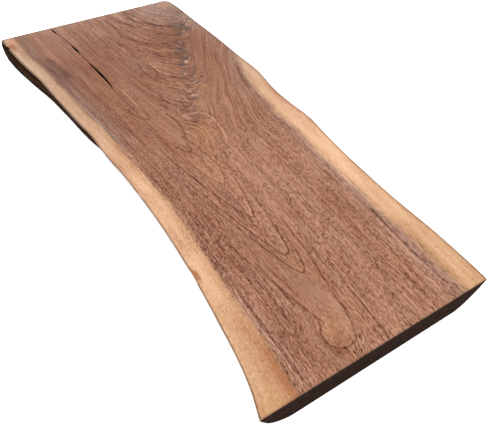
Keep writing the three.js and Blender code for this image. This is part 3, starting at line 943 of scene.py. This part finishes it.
# Live sides: a skin of dark inner bark in lengthwise fibres, with no shine. Its colour is
# set darker than the bark's own, as painted shade of the undercut sides.
tree = start_material("walnut_inner_bark_painted_shade", mesh)
grain_at = add("Attribute", attribute_name="grain", output="Vector")
bark_streaks, bark_patches = (
    add("TexNoise", add("VectorMath MULTIPLY", grain_at, size), None, 1.0, 3.0, 0.6)
    for size in ((1 / 22, 1 / 3, 1 / 1.4), (1 / 40, 1 / 12, 1 / 9)))
bark_tone = add("Math MULTIPLY", bark_patches, 0.45)
bark_tone = add("Math MULTIPLY_ADD", bark_streaks, 0.6, bark_tone)
bark_and_shade_colour = add("ValToRGB", bark_tone, stops=[
    (0.34, "#120702"), (0.53, "#261307"), (0.64, "#3f2817"), (0.76, "#5c412a")])
bark_bump = add("Bump", named={"Strength": 1.0, "Distance": 1.5 * MM, "Height": bark_streaks})
add("OutputMaterial", add("BsdfPrincipled", bark_and_shade_colour, named={
    "Roughness": 1.0, "IOR": 1.45, "Specular IOR Level": 0.02, "Normal": bark_bump}))

# Sawn ends: open pores drink the oil, so the wood is dark and not shiny, and its colour is set
# almost black as painted shade. The rings are faint arcs and the pores are dots.
tree = start_material("oiled_end_grain_painted_shade", mesh)
grain_at = add("Attribute", attribute_name="grain", output="Vector")
through = add("Math FRACT", add("Attribute", attribute_name="ring", output="Fac"))
blotches, saw_marks = (
    add("TexNoise", add("VectorMath MULTIPLY", grain_at, size), None, 1.0, 2.0, 0.55)
    for size in ((1 / 30, 1 / 7, 1 / 7), (1 / 3, 1 / 0.7, 1 / 0.7)))
end_tone = add("Math MULTIPLY", through, 0.35)
end_tone = add("Math MULTIPLY_ADD", blotches, 0.7, end_tone)
end_grain_and_shade_colour = add("ValToRGB", end_tone, stops=[(0.2, "#160a06"), (0.5, "#22150f"), (0.8, "#302017")])
dot_place = add("VectorMath SCALE", grain_at, named={"Scale": 1 / PORE_PITCH})
dots = add("TexVoronoi", dot_place, None, 1.0, feature="F1")
dots = add("MapRange SMOOTHSTEP", dots, 0.12, 0.36, 0.6, 0)
end_grain_and_shade_colour = add("MixRGB", dots, end_grain_and_shade_colour, "#0a0302")
end_height = add("Math MULTIPLY", saw_marks, 0.1)
end_height = add("Math MULTIPLY_ADD", dots, -0.2, end_height)
end_bump = add("Bump", named={"Strength": 0.5, "Distance": MM, "Height": end_height})
add("OutputMaterial", add("BsdfPrincipled", end_grain_and_shade_colour, named={
    "Roughness": 0.95, "IOR": 1.45, "Specular IOR Level": 0.03, "Normal": end_bump}))

# Inside the splits: torn fibres, raw and without shine, coloured near black as painted shade
# of the deep narrow split.
tree = start_material("torn_walnut_painted_shade", mesh)
add("OutputMaterial", add("BsdfPrincipled", "#160802", named={
    "Roughness": 1.0, "Specular IOR Level": 0.02}))

# Which of the four materials each face has.
face_middle = np.zeros(len(mesh.polygons) * 3)
mesh.polygons.foreach_get("center", face_middle)
from_end = LENGTH / 2 - np.abs(face_middle[::3] / MM)
face_rind, face_split = (
    np.array([values[face.vertices[0]] + values[face.vertices[2]] for face in mesh.polygons])
    for values in (rind, split_dark))
TOP, SIDE, END, SPLIT = range(4)       # the order in which the materials were made
skin = np.where(from_end < ARRIS * 0.3, END,
                np.where(face_rind > 1.7, SIDE, np.where(face_split > 1.5, SPLIT, TOP)))
mesh.polygons.foreach_set("material_index", skin.astype(np.int32))

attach(board, "root")
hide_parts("board")

# Floor
# A plain white sheet, far wider than the board. It glows a little, like a light table, so
# that the board throws next to no shadow.

FLOOR_HALF = 8.0
FLOOR_LEVEL = -0.0002    # just clear of the board's underside
floor_mesh = bpy.data.meshes.new("floor")
floor_mesh.from_pydata([(x * FLOOR_HALF, y * FLOOR_HALF, FLOOR_LEVEL)
                        for x, y in ((-1, -1), (1, -1), (1, 1), (-1, 1))], [], [(0, 1, 2, 3)])
floor = show("floor", floor_mesh)
tree = start_material("white_paper", floor_mesh)
add("OutputMaterial", add("BsdfPrincipled", "#fdfdfd", named={
    "Roughness": 0.9, "Specular IOR Level": 0.1,
    "Emission Color": "#ffffff", "Emission Strength": 0.5}))

# Light
# A large soft box overhead and an even sky, bright enough to wash the paper white.

lamp = bpy.data.lights.new("soft_box", "AREA")
lamp.shape = "SQUARE"
lamp.size = 4.0
lamp.energy = 80
show("soft_box", lamp).location = (0, 0, 2.0)

sky = bpy.data.worlds.new("sky")
bpy.context.scene.world = sky
sky.use_nodes = True
background = sky.node_tree.nodes["Background"].inputs
background["Color"].default_value = (1, 1, 1, 1)
background["Strength"].default_value = 0.75
bpy.context.scene.view_settings.view_transform = "Standard"
